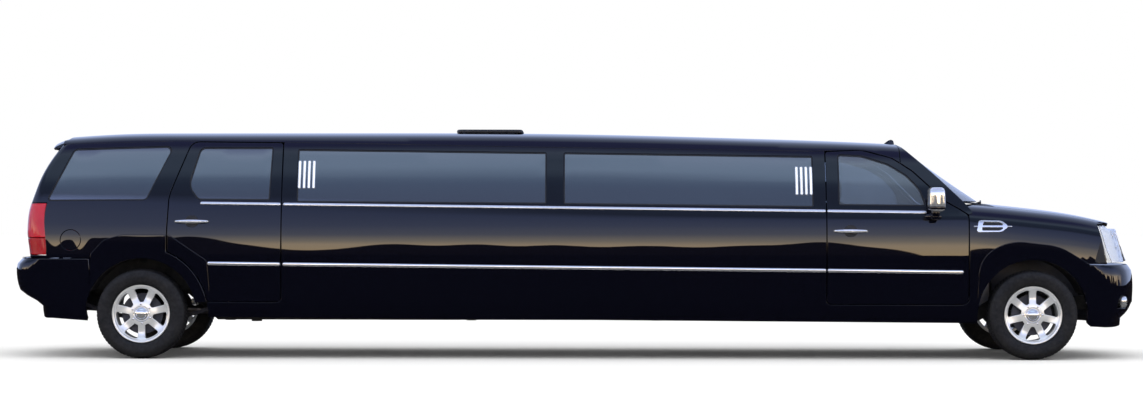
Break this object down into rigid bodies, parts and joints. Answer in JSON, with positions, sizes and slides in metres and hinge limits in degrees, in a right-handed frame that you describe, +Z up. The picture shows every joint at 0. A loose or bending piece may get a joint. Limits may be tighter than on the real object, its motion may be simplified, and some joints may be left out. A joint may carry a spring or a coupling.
{
  "type": "stretch limousine",
  "caption": "Long stretched sport-utility limousine with opening doors, hood, tailgate and roof hatch, steered front wheels and turning wheels.",
  "frame": {"origin": "on the ground under the middle of the vehicle", "axes": "+X towards the nose, +Y to the left side, +Z up"},
  "size_m": [9.756, 2.43, 1.9585],
  "materials": {
    "paint": "gloss",
    "chrome": "polished",
    "glass": "tinted",
    "clear_glass": "clear",
    "head_lamp": "clear lens",
    "tail_lamp": "red lens",
    "steel": "coated",
    "underbody": "matt",
    "engine": "cast",
    "plastic": "grained",
    "leather": "soft",
    "tyre": "matt",
    "rim": "polished",
    "hatch": "gloss"
  },
  "bodies": {
    "body": {"chassis_frame": "underbody", "floor_pan": "underbody", "stretch_panels": "paint", "quarter_panels": "paint", "front_fenders": "paint", "roof_panel": "paint", "windscreen_frame": "paint", "windscreen": "clear_glass", "side_glass": "glass", "front_bumper": "paint", "rear_bumper": "paint", "grille": "chrome", "front_lamps": "head_lamp", "tail_lamps": "tail_lamp", "engine": "engine", "driveline": "steel", "rear_axle": "steel", "front_suspension": "steel", "fuel_tank": "plastic", "exhaust": "steel", "dashboard": "plastic", "seats": "leather", "bright_trim": "chrome", "wipers": "plastic"},
    "hood": {"hood": "paint"},
    "tailgate": {"tailgate": "paint", "tailgate_glass": "glass"},
    "roof_hatch": {"roof_hatch": "hatch"},
    "front_door_left": {"front_door_left": "paint", "front_door_glass_left": "glass"},
    "wheel_front_left": {"tyre_front_left": "tyre", "rim_front_left": "rim"},
    "rear_door_left": {"rear_door_left": "paint", "rear_door_glass_left": "glass"},
    "wheel_rear_left": {"tyre_rear_left": "tyre", "rim_rear_left": "rim"},
    "knuckle_left": {"knuckle_left": "steel"},
    "front_door_right": {"front_door_right": "paint", "front_door_glass_right": "glass"},
    "wheel_front_right": {"tyre_front_right": "tyre", "rim_front_right": "rim"},
    "rear_door_right": {"rear_door_right": "paint", "rear_door_glass_right": "glass"},
    "wheel_rear_right": {"tyre_rear_right": "tyre", "rim_rear_right": "rim"},
    "knuckle_right": {"knuckle_right": "steel"}
  },
  "joints": [
    {"name": "front_door_right_hinge", "type": "hinge", "parent": "body", "child": "front_door_right", "pos_m": [3.311, -0.9813, 0.8], "axis": [0, 0, 1], "range_deg": [0, 70]},
    {"name": "rear_door_right_hinge", "type": "hinge", "parent": "body", "child": "rear_door_right", "pos_m": [-2.484, -0.9813, 0.8], "axis": [0, 0, 1], "range_deg": [0, 70]},
    {"name": "front_door_left_hinge", "type": "hinge", "parent": "body", "child": "front_door_left", "pos_m": [3.311, 0.9813, 0.8], "axis": [0, 0, -1], "range_deg": [0, 70]},
    {"name": "rear_door_left_hinge", "type": "hinge", "parent": "body", "child": "rear_door_left", "pos_m": [-2.484, 0.9813, 0.8], "axis": [0, 0, -1], "range_deg": [0, 70]},
    {"name": "hood_hinge", "type": "hinge", "parent": "body", "child": "hood", "pos_m": [3.564, 0, 1.3173], "axis": [0, -1, 0], "range_deg": [0, 50]},
    {"name": "tailgate_hinge", "type": "hinge", "parent": "body", "child": "tailgate", "pos_m": [-4.334, 0, 1.8869], "axis": [0, 1, 0], "range_deg": [0, 80]},
    {"name": "roof_hatch_hinge", "type": "hinge", "parent": "body", "child": "roof_hatch", "pos_m": [-0.46, 0, 1.9318], "axis": [0, 1, 0], "range_deg": [0, 25]},
    {"name": "steer_left", "type": "hinge", "parent": "body", "child": "knuckle_left", "pos_m": [3.8545, 0.7, 0.378], "axis": [0, 0, 1], "range_deg": [-32, 32]},
    {"name": "wheel_front_left_spin", "type": "hinge", "parent": "knuckle_left", "child": "wheel_front_left", "pos_m": [3.8545, 0.857, 0.378], "axis": [0, 1, 0], "continuous": true},
    {"name": "wheel_rear_left_spin", "type": "hinge", "parent": "body", "child": "wheel_rear_left", "pos_m": [-3.6645, 0.857, 0.378], "axis": [0, 1, 0], "continuous": true},
    {"name": "steer_right", "type": "hinge", "parent": "body", "child": "knuckle_right", "pos_m": [3.8545, -0.7, 0.378], "axis": [0, 0, 1], "range_deg": [-32, 32]},
    {"name": "wheel_front_right_spin", "type": "hinge", "parent": "knuckle_right", "child": "wheel_front_right", "pos_m": [3.8545, -0.857, 0.378], "axis": [0, 1, 0], "continuous": true},
    {"name": "wheel_rear_right_spin", "type": "hinge", "parent": "body", "child": "wheel_rear_right", "pos_m": [-3.6645, -0.857, 0.378], "axis": [0, 1, 0], "continuous": true}
  ],
  "couplings": [
    {"joint": "steer_right", "follows": "steer_left", "ratio": 1}
  ]
}
